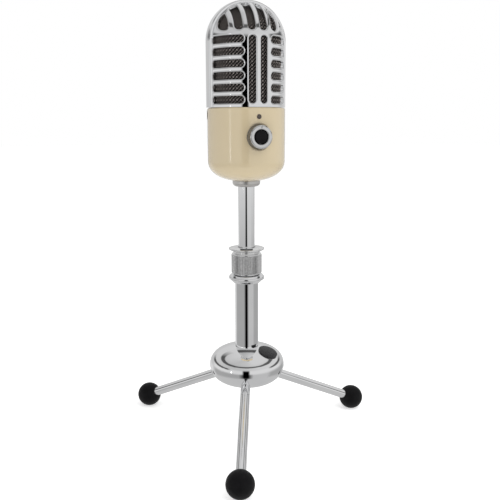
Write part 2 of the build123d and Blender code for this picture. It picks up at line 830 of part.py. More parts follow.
save(make_body_shell(), "body_shell")
save(make_stem_insert(), "stem_insert")
save(make_base_ring(), "base_ring")
save(make_volume_knob(), "volume_knob")
save(make_knob_shaft(), "knob_shaft")
save(make_mute_button(), "mute_button")
save(make_switch_plunger(), "switch_plunger")
save(make_volume_control(), "volume_control")
save(make_mute_switch(), "mute_switch")
save(block(-12, 12, -14.5, -12.9, 193, 214.6), "control_board")
save(block(-6, 6, -12.9, -10.4, 212.4, board_low_z), "board_header")
save(make_main_board(), "main_board")
save(make_headphone_jack(), "headphone_jack")
save(make_usb_shell(), "usb_socket")
save(make_usb_tongue(), "usb_tongue")
save(make_lamp(), "lamp")
save(make_lamp_lens(), "lamp_lens")
save(make_standoffs(), "board_standoffs")

save(make_bulkhead(), "bulkhead")
save(screw_row(boss_azimuths, boss_reach, 5.0), "bulkhead_screws")
save(screw_row(lug_azimuths, lug_reach, 3.4), "grille_screws")
save(make_capsule(), "capsule")
save(make_capsule_cradle(), "capsule_cradle")
save(make_capsule_lead(), "capsule_lead")
save(make_mesh_basket(), "mesh_basket")
save(make_foam_liner(), "foam_liner")

front_grille = make_front_grille()
save(front_grille, "front_grille")
save(mirror(front_grille, Plane.XZ), "rear_grille")
save(make_arch_band(), "arch_band")
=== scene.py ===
from math import asin, atan2, ceil, cos, cosh, log, pi, radians, sin, sqrt, tanh

import bmesh
import bpy
from mathutils import Matrix, Vector
from mathutils.geometry import delaunay_2d_cdt
from mathutils.kdtree import KDTree


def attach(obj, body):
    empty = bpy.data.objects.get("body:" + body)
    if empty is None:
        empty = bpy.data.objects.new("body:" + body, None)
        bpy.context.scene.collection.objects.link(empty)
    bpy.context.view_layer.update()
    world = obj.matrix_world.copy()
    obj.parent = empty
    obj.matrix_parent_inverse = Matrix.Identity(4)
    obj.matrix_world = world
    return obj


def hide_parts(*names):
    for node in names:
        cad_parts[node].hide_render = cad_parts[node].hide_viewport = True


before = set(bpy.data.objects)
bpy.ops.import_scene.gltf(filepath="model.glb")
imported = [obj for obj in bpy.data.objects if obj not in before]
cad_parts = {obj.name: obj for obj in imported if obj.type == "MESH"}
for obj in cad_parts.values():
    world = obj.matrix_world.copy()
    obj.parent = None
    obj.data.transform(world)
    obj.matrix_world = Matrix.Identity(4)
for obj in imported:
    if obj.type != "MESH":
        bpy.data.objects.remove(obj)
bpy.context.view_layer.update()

MM = 0.001

# The microphone's front faces -Y.  Azimuths are counted from -Y towards +X.
view_azimuth = radians(-18.5)


# ---- camera ------------------------------------------------------------
def make_camera():
    """The camera looks slightly down on the column from the front left."""
    reach = 0.4628
    height = 0.21598
    pitch = radians(10.49)
    yaw = radians(0.29)
    roll = radians(0.11)
    data = bpy.data.cameras.new("camera")
    data.lens = 50.08
    data.sensor_width = 36.0
    data.clip_start = 0.01
    camera = bpy.data.objects.new("camera", data)
    place = Vector((reach * sin(view_azimuth), -reach * cos(view_azimuth), height))
    turn = Matrix.Rotation(view_azimuth - yaw, 4, "Z") @ Matrix.Rotation(pi / 2 - pitch, 4, "X")
    camera.matrix_world = Matrix.Translation(place) @ turn @ Matrix.Rotation(-roll, 4, "Z")
    bpy.context.scene.collection.objects.link(camera)
    bpy.context.scene.camera = camera


# ---- node trees --------------------------------------------------------
class Tree:
    """Adds nodes to a node tree with short calls, and joins them."""

    def __init__(self, tree):
        self.tree = tree

    def add(self, kind, **settings):
        node = self.tree.nodes.new(kind)
        for name, value in settings.items():
            setattr(node, name, value)
        return node

    def feed(self, socket, value):
        if isinstance(value, bpy.types.NodeSocket):
            self.tree.links.new(value, socket)
        else:
            socket.default_value = value

    def math(self, operation, first, second=0.0, third=0.0):
        node = self.add("ShaderNodeMath", operation=operation)
        for socket, value in zip(node.inputs, (first, second, third)):
            self.feed(socket, value)
        return node.outputs[0]

    def ramp(self, factor, stops):
        """A colour ramp from (position, grey or colour) stops."""
        node = self.add("ShaderNodeValToRGB")
        marks = node.color_ramp.elements
        while len(marks) < len(stops):
            marks.new(0.5)
        for mark, (position, tone) in zip(marks, stops):
            mark.position = position
            mark.color = (*tone, 1.0) if isinstance(tone, tuple) else (tone, tone, tone, 1.0)
        self.feed(node.inputs["Fac"], factor)
        return node.outputs["Color"]

    def mix(self, factor, first, second, blend="MIX"):
        """Blends two colours."""
        node = self.add("ShaderNodeMix", data_type="RGBA", blend_type=blend)
        self.feed(node.inputs[0], factor)
        self.feed(node.inputs[6], first)
        self.feed(node.inputs[7], second)
        return node.outputs[2]

    def parts(self, vector):
        node = self.add("ShaderNodeSeparateXYZ")
        self.feed(node.inputs[0], vector)
        return node.outputs

    def point(self, x, y, z):
        node = self.add("ShaderNodeCombineXYZ")
        for socket, value in zip(node.inputs, (x, y, z)):
            self.feed(socket, value)
        return node.outputs[0]


# ---- studio ------------------------------------------------------------
def make_studio():
    """White surroundings for the camera.  The chrome sees grey panels with dark gaps between them.

    Azimuths are in degrees from the camera's side, and heights in degrees from level.
    """
    white = (1.0, 1.0, 1.0, 1.0)
    ground = (0.56, 0.56, 0.56, 1.0)
    dark = (0.01, 0.01, 0.01, 1.0)
    bright = (8.0, 8.0, 8.0, 1.0)
    scene = bpy.context.scene
    scene.view_settings.view_transform = "Standard"
    world = bpy.data.worlds.new("studio")
    scene.world = world
    world.use_nodes = True
    nodes = Tree(world.node_tree)
    background = world.node_tree.nodes["Background"]
    place = nodes.add("ShaderNodeTexCoord").outputs["Generated"]
    spin = nodes.add("ShaderNodeVectorRotate", rotation_type="Z_AXIS")
    nodes.feed(spin.inputs["Vector"], place)
    nodes.feed(spin.inputs["Angle"], -view_azimuth)
    x, y, z = nodes.parts(spin.outputs[0])
    around = nodes.math("ARCTAN2", x, nodes.math("MULTIPLY", y, -1.0))
    turn = nodes.math("MULTIPLY_ADD", around, 0.5 / pi, 0.5)
    rise = nodes.math("MULTIPLY_ADD", nodes.math("ARCSINE", z), 1.0 / pi, 0.5)

    def by_azimuth(*stops):
        return nodes.ramp(turn, [(0.5 + degree / 360, tone) for degree, tone in stops])

    def by_height(*stops):
        return nodes.ramp(rise, [(0.5 + degree / 180, tone) for degree, tone in stops])

    level_walls = by_azimuth(
        (-180, 0.6), (-130, 0.6), (-110, 0.75), (-15, 0.75), (-10, 0.0),
        (5, 0.0), (10, 0.75), (110, 0.75), (130, 0.6), (180, 0.6))
    low_walls = by_azimuth(
        (-180, 0.75), (-130, 0.75), (-110, 0.4), (-25, 0.4), (-10, 0.0),
        (5, 0.0), (20, 0.55), (65, 0.55), (80, 0.4), (140, 0.4), (160, 0.75), (180, 0.75))
    overhead = by_azimuth((-180, 0.7), (-60, 0.55), (0, 0.6), (40, 0.68), (180, 0.7))
    tone = nodes.mix(by_height((-13, 0.0), (-4, 1.0)), low_walls, level_walls)
    tone = nodes.mix(by_height((-36, 1.0), (-24, 0.0)), tone, ground)
    tone = nodes.mix(by_height((9, 0.0), (20, 1.0)), tone, overhead)

    # A dark seam between the walls and the ceiling, all round but for the back.
    seam = by_height((34, 0.0), (37, 0.96), (45, 0.96), (48, 0.1), (60, 0.0))
    seam_reach = by_azimuth((-165, 0.0), (-135, 0.9), (0, 0.85), (135, 0.9), (165, 0.0))
    tone = nodes.mix(nodes.math("MULTIPLY", seam, seam_reach), tone, dark)

    # A dark gap just above level at each side.
    gap = by_height((6.5, 0.0), (9.5, 0.85), (16, 0.85), (19, 0.0))
    gap_reach = by_azimuth(
        (-150, 0.0), (-130, 1.0), (-64, 1.0), (-50, 0.0), (70, 0.0), (82, 1.0), (130, 1.0), (150, 0.0))
    tone = nodes.mix(nodes.math("MULTIPLY", gap, gap_reach), tone, dark)

    # A narrow bright lamp at the left.
    lamp = by_azimuth((-49.2, 0.0), (-48.6, 1.0), (-47.4, 1.0), (-46.8, 0.0))
    lamp_reach = by_height((-5.6, 0.0), (-5.2, 1.0), (0.4, 1.0), (0.9, 0.0))
    tone = nodes.mix(nodes.math("MULTIPLY", lamp, lamp_reach), tone, bright)

    seen = nodes.add("ShaderNodeLightPath").outputs["Is Camera Ray"]
    nodes.feed(background.inputs["Color"], nodes.mix(seen, tone, white))
    background.inputs["Strength"].default_value = 1.0


def make_light(name, azimuth, rise, reach, size, power, target_z=0.15):
    """A large soft panel that faces the column and isn't mirrored in the chrome."""
    data = bpy.data.lights.new(name, "AREA")
    data.shape = "SQUARE"
    data.size = size
    data.energy = power
    light = bpy.data.objects.new(name, data)
    turn = radians(azimuth) + view_azimuth
    lift = radians(rise)
    away = Vector((sin(turn) * cos(lift), -cos(turn) * cos(lift), sin(lift)))
    target = Vector((0, 0, target_z))
    aim = away.to_track_quat("Z", "Y").to_matrix().to_4x4()
    light.matrix_world = Matrix.Translation(target + away * reach) @ aim
    light.visible_glossy = False
    bpy.context.scene.collection.objects.link(light)


def make_floor():
    """A wide pale disc that fades into the white surroundings."""
    radius = 6.0
    sides = 96
    grain_scale = 9.0
    glow = 0.56
    turns = [2 * pi * side / sides for side in range(sides)]
    points = [(radius * cos(turn), radius * sin(turn), 0) for turn in turns]
    mesh = bpy.data.meshes.new("floor")
    mesh.from_pydata(points, [], [list(range(sides))])
    floor = bpy.data.objects.new("floor", mesh)
    bpy.context.scene.collection.objects.link(floor)
    finish = bpy.data.materials.new("studio_floor")
    finish.use_nodes = True
    nodes = Tree(finish.node_tree)
    shader = finish.node_tree.nodes["Principled BSDF"]
    spot = nodes.add("ShaderNodeTexCoord").outputs["Object"]
    grain = nodes.add("ShaderNodeTexNoise")
    nodes.feed(grain.inputs["Vector"], spot)
    nodes.feed(grain.inputs["Scale"], grain_scale)
    nodes.feed(shader.inputs["Base Color"], nodes.ramp(grain.outputs["Fac"], [(0.2, 0.93), (0.8, 0.95)]))
    nodes.feed(shader.inputs["Roughness"], 0.9)
    nodes.feed(shader.inputs["Specular IOR Level"], 0.0)
    nodes.feed(shader.inputs["Emission Color"], (1.0, 1.0, 1.0, 1.0))
    nodes.feed(shader.inputs["Emission Strength"], glow)
    floor.data.materials.append(finish)
    floor.visible_glossy = False


# ---- materials ---------------------------------------------------------
# The woven screen's middle radius, its whole depth, and the height of its dome's centre, in mm.
screen_radius = 22.05
screen_depth = 1.32
dome_center_z = 265.6


class Finish(Tree):
    """A Principled material whose colour, roughness and relief come from noise at the object's scale."""

    def __init__(self, name, **values):
        self.material = bpy.data.materials.new(name)
        self.material.use_nodes = True
        super().__init__(self.material.node_tree)
        self.shader = self.tree.nodes["Principled BSDF"]
        self.spot = self.add("ShaderNodeTexCoord").outputs["Object"]
        for socket, value in values.items():
            self.shader.inputs[socket.replace("_", " ")].default_value = value

    def noise(self, scale, detail=2.0, vector=None):
        node = self.add("ShaderNodeTexNoise")
        self.feed(node.inputs["Vector"], vector or self.spot)
        self.feed(node.inputs["Scale"], scale)
        self.feed(node.inputs["Detail"], detail)
        return node.outputs["Fac"]

    def cells(self, scale, feature="F1"):
        node = self.add("ShaderNodeTexVoronoi", feature=feature)
        self.feed(node.inputs["Vector"], self.spot)
        self.feed(node.inputs["Scale"], scale)
        return node.outputs["Distance"]

    def turned_grain(self, scale):
        """Noise that runs round the Z axis, as a lathe leaves it."""
        x, y, z = self.parts(self.spot)
        reach = self.math("SQRT", self.math("ADD", self.math("MULTIPLY", x, x), self.math("MULTIPLY", y, y)))
        return self.noise(scale, 3.0, self.point(reach, 0.0, z))

    def colour(self, factor, stops):
        self.feed(self.shader.inputs["Base Color"], self.ramp(factor, stops))

    def roughness(self, factor, low, high):
        node = self.add("ShaderNodeMapRange")
        self.feed(node.inputs["Value"], factor)
        self.feed(node.inputs["From Min"], 0.3)
        self.feed(node.inputs["From Max"], 0.7)
        self.feed(node.inputs["To Min"], low)
        self.feed(node.inputs["To Max"], high)
        self.feed(self.shader.inputs["Roughness"], node.outputs["Result"])

    def relief(self, height, depth, strength=1.0):
        node = self.add("ShaderNodeBump")
        self.feed(node.inputs["Height"], height)
        self.feed(node.inputs["Distance"], depth)
        self.feed(node.inputs["Strength"], strength)
        self.feed(self.shader.inputs["Normal"], node.outputs["Normal"])


def chrome():
    made = Finish("chrome_plate", Metallic=1.0)
    made.colour(made.noise(60.0), [(0.3, (0.84, 0.845, 0.855)), (0.7, (0.9, 0.9, 0.905))])
    made.roughness(made.noise(240.0, 4.0), 0.015, 0.04)
    made.relief(made.noise(420.0), 0.4e-6)
    return made.material


def satin_metal():
    made = Finish("satin_nickel", Metallic=1.0)
    grain = made.turned_grain(2600.0)
    made.colour(grain, [(0.3, (0.62, 0.605, 0.585)), (0.7, (0.76, 0.745, 0.725))])
    made.roughness(grain, 0.26, 0.4)
    made.relief(grain, 4e-6, 0.5)
    return made.material


def knurled(name, axis, start, stop, face, ridge):
    """Polished metal with a rougher band between two heights on an axis. The band's darker grey, given with
    its roughness as (grey, roughness), is painted shade standing in for the shadows in the knurl's grooves.
    """
    made = Finish(name, Metallic=1.0)
    along = made.parts(made.spot)[axis]
    band = made.math("MULTIPLY", made.math("GREATER_THAN", along, start), made.math("LESS_THAN", along, stop))
    grain = made.noise(900.0, 3.0)
    plain = made.ramp(grain, [(0.3, face[0] * 0.97), (0.7, face[0] * 1.03)])
    # The band's darker colour is painted shade of the knurl's grooves.
    painted_groove_shade = made.ramp(grain, [(0.3, ridge[0] * 0.85), (0.7, ridge[0] * 1.15)])
    made.feed(made.shader.inputs["Base Color"], made.mix(band, plain, painted_groove_shade))
    made.feed(made.shader.inputs["Roughness"], made.math("MULTIPLY_ADD", band, ridge[1] - face[1], face[1]))
    made.relief(grain, 3e-6, 0.4)
    return made.material


def cream():
    made = Finish("cream_plastic", Coat_Weight=1.0, Coat_Roughness=0.015, IOR=1.49)
    made.colour(made.noise(30.0, 1.0), [(0.3, (0.59, 0.488, 0.316)), (0.7, (0.6, 0.498, 0.324))])
    made.roughness(made.noise(320.0, 2.0), 0.2, 0.24)
    made.relief(made.noise(60.0, 1.0), 2e-6, 0.3)
    return made.material


def rubber():
    made = Finish("black_rubber", Sheen_Weight=0.01, Sheen_Roughness=0.5, Specular_IOR_Level=0.22, IOR=1.45)
    made.colour(made.noise(150.0, 5.0), [(0.3, (0.002, 0.0018, 0.0024)), (0.7, (0.004, 0.0036, 0.0046))])
    made.roughness(made.noise(500.0, 4.0), 0.42, 0.6)
    made.relief(made.noise(1700.0, 4.0), 3e-5, 0.5)
    return made.material


def black_gloss():
    made = Finish("black_gloss", Specular_IOR_Level=0.14, Coat_Weight=0.04, Coat_Roughness=0.04)
    made.colour(made.noise(300.0), [(0.3, (0.003, 0.0025, 0.003)), (0.7, (0.005, 0.004, 0.005))])
    made.roughness(made.noise(700.0, 3.0), 0.1, 0.18)
    made.relief(made.noise(900.0), 2e-6, 0.4)
    return made.material


def black_plastic():
    made = Finish("black_plastic")
    made.colour(made.noise(260.0, 4.0), [(0.3, (0.014, 0.014, 0.015)), (0.7, (0.026, 0.026, 0.028))])
    made.roughness(made.noise(900.0, 3.0), 0.38, 0.52)
    made.relief(made.noise(2400.0, 3.0), 1.2e-5, 0.5)
    return made.material


def badge():
    made = Finish("badge_enamel", Specular_IOR_Level=0.25, Coat_Weight=0.1, Coat_Roughness=0.08)
    made.colour(made.noise(420.0, 4.0), [(0.3, (0.012, 0.012, 0.013)), (0.7, (0.03, 0.03, 0.032))])
    made.roughness(made.noise(900.0, 3.0), 0.24, 0.36)
    made.relief(made.noise(1500.0, 2.0), 6e-6, 0.4)
    return made.material


def wire_mesh():
    made = Finish("mesh_wire", Metallic=0.85)
    x, y, z = made.parts(made.spot)
    rise = made.math("MAXIMUM", made.math("SUBTRACT", z, dome_center_z * MM), 0.0)
    flat = made.math("ADD", made.math("MULTIPLY", x, x), made.math("MULTIPLY", y, y))
    reach = made.math("SQRT", made.math("ADD", flat, made.math("MULTIPLY", rise, rise)))
    depth = made.math("SUBTRACT", reach, screen_radius * MM)
    # The colour is painted shade and highlight by depth in the weave: near black on the inner side of the
    # wires, where shade falls, and bright on their outermost crests.
    painted_crest_shade = made.math("MULTIPLY_ADD", depth, 1.0 / (screen_depth * MM), 0.5)
    painted_crest_shade = made.math("ADD", painted_crest_shade, made.math("MULTIPLY_ADD", made.noise(900.0, 3.0), 0.2, -0.1))
    made.colour(painted_crest_shade, [
        (0.56, (0.003, 0.0027, 0.0025)), (0.7, (0.28, 0.245, 0.23)), (0.82, (0.9, 0.83, 0.78))])
    made.roughness(made.noise(1500.0), 0.3, 0.45)
    made.relief(made.noise(3000.0), 1e-5, 0.4)
    return made.material


def foam():
    made = Finish("dark_foam", Sheen_Weight=0.2)
    pores = made.cells(1500.0)
    made.colour(pores, [(0.1, (0.006, 0.0055, 0.005)), (0.6, (0.03, 0.027, 0.026))])
    made.roughness(made.noise(600.0), 0.85, 0.98)
    made.relief(pores, 2e-4, 0.9)
    return made.material


def plain_metal(name, dark, light, low, high):
    made = Finish(name, Metallic=1.0)
    grain = made.noise(700.0, 4.0)
    made.colour(grain, [(0.3, dark), (0.7, light)])
    made.roughness(grain, low, high)
    made.relief(made.noise(1600.0, 3.0), 5e-6, 0.5)
    return made.material


def cast_iron():
    made = Finish("cast_iron", Metallic=0.5)
    lumps = made.noise(650.0, 6.0)
    made.colour(lumps, [(0.3, (0.035, 0.035, 0.036)), (0.7, (0.085, 0.083, 0.08))])
    made.roughness(lumps, 0.5, 0.75)
    made.relief(lumps, 1.2e-4, 0.7)
    return made.material


def nylon():
    made = Finish("nylon", Subsurface_Weight=0.15, Subsurface_Scale=0.001)
    made.colour(made.noise(500.0, 3.0), [(0.3, (0.62, 0.61, 0.57)), (0.7, (0.7, 0.69, 0.65))])
    made.roughness(made.noise(900.0, 3.0), 0.35, 0.5)
    made.relief(made.noise(1300.0, 3.0), 1e-5, 0.5)
    return made.material


def circuit_board():
    made = Finish("circuit_board", Coat_Weight=0.3, Coat_Roughness=0.15)
    tracks = made.cells(380.0, "DISTANCE_TO_EDGE")
    made.colour(tracks, [(0.0, (0.07, 0.2, 0.06)), (0.09, (0.06, 0.17, 0.05)), (0.1, (0.012, 0.07, 0.025))])
    made.roughness(made.noise(500.0, 3.0), 0.25, 0.4)
    made.relief(tracks, 3e-5, 0.4)
    return made.material


def lamp_lens():
    made = Finish("lamp_lens", Transmission_Weight=0.25, Coat_Weight=0.8, Coat_Roughness=0.03, IOR=1.49)
    made.colour(made.noise(900.0, 2.0), [(0.3, (0.05, 0.032, 0.024)), (0.7, (0.085, 0.058, 0.045))])
    made.roughness(made.noise(1500.0), 0.08, 0.16)
    made.relief(made.noise(1200.0), 4e-6, 0.4)
    return made.material


def soft_black():
    made = Finish("soft_black", Sheen_Weight=0.2)
    made.colour(made.noise(400.0, 5.0), [(0.3, (0.012, 0.012, 0.012)), (0.7, (0.022, 0.021, 0.021))])
    made.roughness(made.noise(800.0, 3.0), 0.6, 0.8)
    made.relief(made.noise(2600.0, 4.0), 3e-5, 0.6)
    return made.material


finishes = {
    "chrome": chrome(),
    "satin_metal": satin_metal(),
    "cream": cream(),
    "rubber": rubber(),
    "black_gloss": black_gloss(),
    "black_plastic": black_plastic(),
    "badge": badge(),
    "mesh": wire_mesh(),
    "foam": foam(),
    "steel": plain_metal("steel", (0.42, 0.42, 0.41), (0.56, 0.56, 0.55), 0.22, 0.36),
    "brass": plain_metal("brass", (0.62, 0.43, 0.16), (0.74, 0.54, 0.24), 0.2, 0.34),
    "cast_iron": cast_iron(),
    "nylon": nylon(),
    "board": circuit_board(),
    "aluminium": plain_metal("aluminium", (0.6, 0.6, 0.61), (0.74, 0.74, 0.75), 0.24, 0.38),
    "lens": lamp_lens(),
    "soft_black": soft_black(),
}
# Each knurled band's darker grey is painted shade of its grooves.
nut_finish = knurled(
    "knurled_chrome", axis=2, start=0.1151, stop=0.1277, face=(0.87, 0.04), ridge=(0.68, 0.4))
ring_finish = knurled(
    "knurled_satin", axis=1, start=-0.0296, stop=-0.0248, face=(0.72, 0.2), ridge=(0.3, 0.34))

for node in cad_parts.values():
    for place in node.material_slots:
        place.material = finishes[place.material.name]


# ---- mesh building -----------------------------------------------------
def place_piece(name, mesh, body, slot, *nodes, finish=None):
    """Puts a finished mesh in the scene in place of CAD nodes."""
    piece = bpy.data.objects.new(name, mesh)
    bpy.context.scene.collection.objects.link(piece)
    mesh.materials.append(finish or finishes[slot])
    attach(piece, body)
    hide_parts(*nodes)
    return piece


def shaded_mesh(name, points, faces, corner_normals):
    """A smooth mesh in metres from points in mm, with a given normal at every face corner."""
    mesh = bpy.data.meshes.new(name)
    mesh.from_pydata([Vector(point) * MM for point in points], [], faces)
    mesh.shade_smooth()
    mesh.normals_split_custom_set([normal for corners in corner_normals for normal in corners])
    return mesh


# ---- grille ------------------------------------------------------------
grille_radius = 24.6
grille_wall = 1.8
grille_low_z = 224.7
arch_half_width = 4.7
column_pitch = 7.7
joint_half_gap = 0.05
crown_gap = 0.6
side_slot_rows = 6
side_slot_pitch = 7.28
side_slot_first_z = 229.1
side_slot_half = 2.275
side_slot_start = 21.4
side_slot_stop = 78.8
front_slot_half = 2.3
front_slot_low_z = 226.9
front_slot_high_z = 267.6
dome_slot_half = 2.4
dome_slot_low_z = 270.8
dome_slot_margin = 1.2
rim_width = 0.9
rim_depth = 0.55
rim_steps = (0.0, 0.06, 0.16, 0.32, 0.55, 0.9)
grid_pitch = 1.25
straight_height = dome_center_z - grille_low_z
quarter_width = grille_radius * pi / 2
full_height = straight_height + grille_radius * pi / 2


def on_plan(point):
    """Where a point on the grille's outer skin lies on the flat plan: (distance round, distance up)."""
    x, y, z = point
    around = grille_radius * atan2(x, -y)
    if z <= dome_center_z:
        return around, z - grille_low_z
    return around, straight_height + grille_radius * asin(min((z - dome_center_z) / grille_radius, 1))


def skin_normal(around, up):
    """The outward direction of the skin at a place on the plan."""
    turn = around / grille_radius
    tilt = max(up - straight_height, 0) / grille_radius
    return Vector((sin(turn) * cos(tilt), -cos(turn) * cos(tilt), sin(tilt)))


def skin_point(around, up, depth=0.0):
    """The point of the skin at a place on the plan, sunk by a depth."""
    middle = Vector((0, 0, grille_low_z + min(up, straight_height)))
    return middle + skin_normal(around, up) * (grille_radius - depth)


def spread_out(start, stop, pitch):
    """Evenly spaced values from start up to, and not including, stop."""
    count = max(1, ceil(abs(stop - start) / pitch))
    return [start + (stop - start) * step / count for step in range(count)]


def half_circle(x, y, radius, start, count=14):
    """Points along half a circle on a flat drawing, without the last one."""
    turns = [start + pi * step / count for step in range(count)]
    return [(x + radius * cos(turn), y + radius * sin(turn)) for turn in turns]


def side_slot_outline(height):
    """A round-ended slot round the side, as points on the plan."""
    half = side_slot_half
    pitch = 1.1
    up = height - grille_low_z
    first = grille_radius * radians(side_slot_start) + half
    last = grille_radius * radians(side_slot_stop) - half
    outline = [(around, up - half) for around in spread_out(first, last, pitch)]
    outline += half_circle(last, up, half, -pi / 2)
    outline += [(around, up + half) for around in spread_out(last, first, pitch)]
    return outline + half_circle(first, up, half, pi / 2)


def upright_point(x, z):
    """The point of the front skin at a place on the drawing of the front."""
    rise = max(z - dome_center_z, 0)
    return x, -sqrt(grille_radius**2 - x * x - rise * rise), z


def front_slot_outline(x):
    """A tall round-ended slot in the front, as points on the plan."""
    half = front_slot_half
    pitch = 1.5
    low = front_slot_low_z + half
    high = front_slot_high_z - half
    drawing = [(x + half, z) for z in spread_out(low, high, pitch)]
    drawing += half_circle(x, high, half, 0)
    drawing += [(x - half, z) for z in spread_out(high, low, pitch)]
    drawing += half_circle(x, low, half, pi)
    return [on_plan(upright_point(*point)) for point in drawing]


def overhead_point(x, y):
    """The point of the dome's skin at a place on the drawing from above."""
    return x, y, dome_center_z + sqrt(grille_radius**2 - x * x - y * y)


def dome_slot_outline(x):
    """A slot over the dome, from the shoulder to just short of the arch, as points on the plan."""
    half = dome_slot_half
    pitch = 0.8
    low = dome_slot_low_z + half
    back = -arch_half_width - dome_slot_margin - half
    right_y = upright_point(x + half, low)[1]
    left_y = upright_point(x - half, low)[1]
    points = [overhead_point(x + half, y) for y in spread_out(right_y, back, pitch)]
    points += [overhead_point(*place) for place in half_circle(x, back, half, 0)]
    points += [overhead_point(x - half, y) for y in spread_out(back, left_y, pitch)]
    points += [upright_point(*place) for place in half_circle(x, low, half, pi)]
    return [on_plan(point) for point in points]


def rim_rings(outline):
    """Rings round a slot: for each place its plan position, point and normal on the rounded rim."""
    points = [skin_point(*place) for place in outline]
    rings = []
    for reach in rim_steps:
        ring = []
        for number, place in enumerate(outline):
            ahead = points[(number + 1) % len(points)] - points[number - 1]
            normal = skin_normal(*place)
            away = ahead.cross(normal).normalized()
            moved = points[number] + away * reach
            rise = min(max(moved.z - grille_low_z, 0), straight_height) + grille_low_z
            outward = (moved - Vector((0, 0, rise))).normalized()
            spot = on_plan(Vector((0, 0, rise)) + outward * grille_radius)
            near = 1 - reach / rim_width
            sunk = rim_depth * (1 - sqrt(1 - near * near))
            slope = rim_depth * near / (rim_width * sqrt(max(1 - near * near, 1e-9)))
            lean = (outward - away * slope).normalized()
            ring.append((spot, skin_point(*spot, sunk), lean))
        rings.append(ring)
    return rings


def inside(place, outline):
    """True if a place on the plan is inside a closed outline."""
    x, y = place
    crossings = 0
    for (x1, y1), (x2, y2) in zip(outline, outline[1:] + outline[:1]):
        if (y1 > y) != (y2 > y) and x < x1 + (y - y1) * (x2 - x1) / (y2 - y1):
            crossings += 1
    return crossings % 2 == 1


def plan_edge():
    """The quarter plan's border, anticlockwise from the centre line's foot."""
    wide = quarter_width - joint_half_gap
    high = full_height - crown_gap
    border = [(around, 0.0) for around in spread_out(0.0, wide, grid_pitch)]
    border += [(wide, up) for up in spread_out(0.0, high, grid_pitch)]
    border += [(around, high) for around in spread_out(wide, 0.0, 4 * grid_pitch)]
    return border + [(0.0, up) for up in spread_out(high, 0.0, grid_pitch)]


def triangles(loops, loose, holes):
    """Triangles between closed loops and loose places on the plan, without the holes."""
    places = []
    edges = []
    for loop in loops:
        first = len(places)
        places += loop
        edges += [(first + k, first + (k + 1) % len(loop)) for k in range(len(loop))]
    places += loose
    found = delaunay_2d_cdt([Vector(place) for place in places], edges, [], 0, 1e-6)
    if len(found[0]) != len(places):
        raise ValueError("two rims of the grille cross")
    kept = []
    for face in found[2]:
        middle = sum((found[0][corner] for corner in face), Vector((0, 0))) / 3
        if not any(inside(middle, hole) for hole in holes):
            kept.append(tuple(found[3][corner][0] for corner in face))
    return kept


def grille_quarter():
    """Points, faces and corner normals of the front right quarter of the grille."""
    edge_clearance = 0.5
    crown_clearance = 1.5
    least_narrowing = 0.2
    heights = [side_slot_first_z + side_slot_pitch * row for row in range(side_slot_rows)]
    outlines = [side_slot_outline(height) for height in heights]
    outlines.append(front_slot_outline(0.5 * column_pitch))
    outlines += [dome_slot_outline(column * column_pitch) for column in (0.5, 1.5, 2.5)]
    slots = [rim_rings(outline) for outline in outlines]
    tree_points = [point for rings in slots for _, point, _ in rings[0]]
    near_rim = KDTree(len(tree_points))
    for number, point in enumerate(tree_points):
        near_rim.insert(point, number)
    near_rim.balance()
    loose = []
    for up in spread_out(grid_pitch, full_height - crown_clearance, grid_pitch):
        narrow = max(cos(max(up - straight_height, 0) / grille_radius), least_narrowing)
        for around in spread_out(grid_pitch, quarter_width - edge_clearance, grid_pitch / narrow):
            clear = near_rim.find(skin_point(around, up))[2] > rim_width + edge_clearance
            if clear and not any(inside((around, up), outline) for outline in outlines):
                loose.append((around, up))
    border = plan_edge()
    rings = [ring for slot in slots for ring in slot]
    loops = [border] + [[spot for spot, _, _ in ring] for ring in rings]
    faces = triangles(loops, loose, outlines)
    points = [skin_point(*place) for place in border]
    normals = [skin_normal(*place) for place in border]
    for ring in rings:
        points += [point for _, point, _ in ring]
        normals += [lean for _, _, lean in ring]
    points += [skin_point(*place) for place in loose]
    normals += [skin_normal(*place) for place in loose]
    corner_normals = [[normals[corner] for corner in face] for face in faces]

    # The inner skin has the same border and slot outlines, so that walls can join the two,
    # and a third of the loose places, as it is hardly seen.
    inner_first = len(points)
    inner_loops = [border] + [[spot for spot, _, _ in slot[0]] for slot in slots]
    sparse = loose[::3]
    for face in triangles(inner_loops, sparse, outlines):
        faces.append(tuple(inner_first + corner for corner in reversed(face)))
    inner_places = [place for loop in inner_loops for place in loop] + sparse
    points += [skin_point(*place, grille_wall) for place in inner_places]
    for face in faces[len(corner_normals):]:
        corner_normals.append([-skin_normal(*inner_places[corner - inner_first]) for corner in face])

    # Walls round the slots, the foot and the joint.
    outer = 0
    inner = inner_first
    walls = [(border, outer, inner, None)]
    outer += len(border)
    inner += len(border)
    for outline, slot in zip(outlines, slots):
        walls.append((outline, outer, inner, [lean for _, _, lean in slot[0]]))
        outer += len(slot[0]) * len(rim_steps)
        inner += len(slot[0])
    for loop, outer_start, inner_start, leans in walls:
        count = len(loop)
        for k in range(count):
            after = (k + 1) % count
            if leans is None and loop[k][0] == 0.0 and loop[after][0] == 0.0:
                continue
            face = (outer_start + after, outer_start + k, inner_start + k, inner_start + after)
            if leans is None:
                flat = (points[face[1]] - points[face[0]]).cross(points[face[2]] - points[face[1]])
                corner_normals.append([flat.normalized()] * 4)
                faces.append(face)
            else:
                corner_normals.append([leans[k], leans[after], leans[after], leans[k]])
                faces.append((face[1], face[0], face[3], face[2]))
    return points, faces, corner_normals


def mirrored(points, faces, corner_normals, axis):
    """Adds the mirror image across the plane where an axis is zero, joined along that plane."""
    flip = Vector([-1 if k == axis else 1 for k in range(3)])
    matches = []
    joined = list(points)
    for number, point in enumerate(points):
        if abs(point[axis]) < 1e-4:
            matches.append(number)
        else:
            matches.append(len(joined))
            joined.append(point * flip)
    more = [tuple(matches[corner] for corner in reversed(face)) for face in faces]
    more_normals = [[normal * flip for normal in reversed(corners)] for corners in corner_normals]
    return joined, faces + more, corner_normals + more_normals


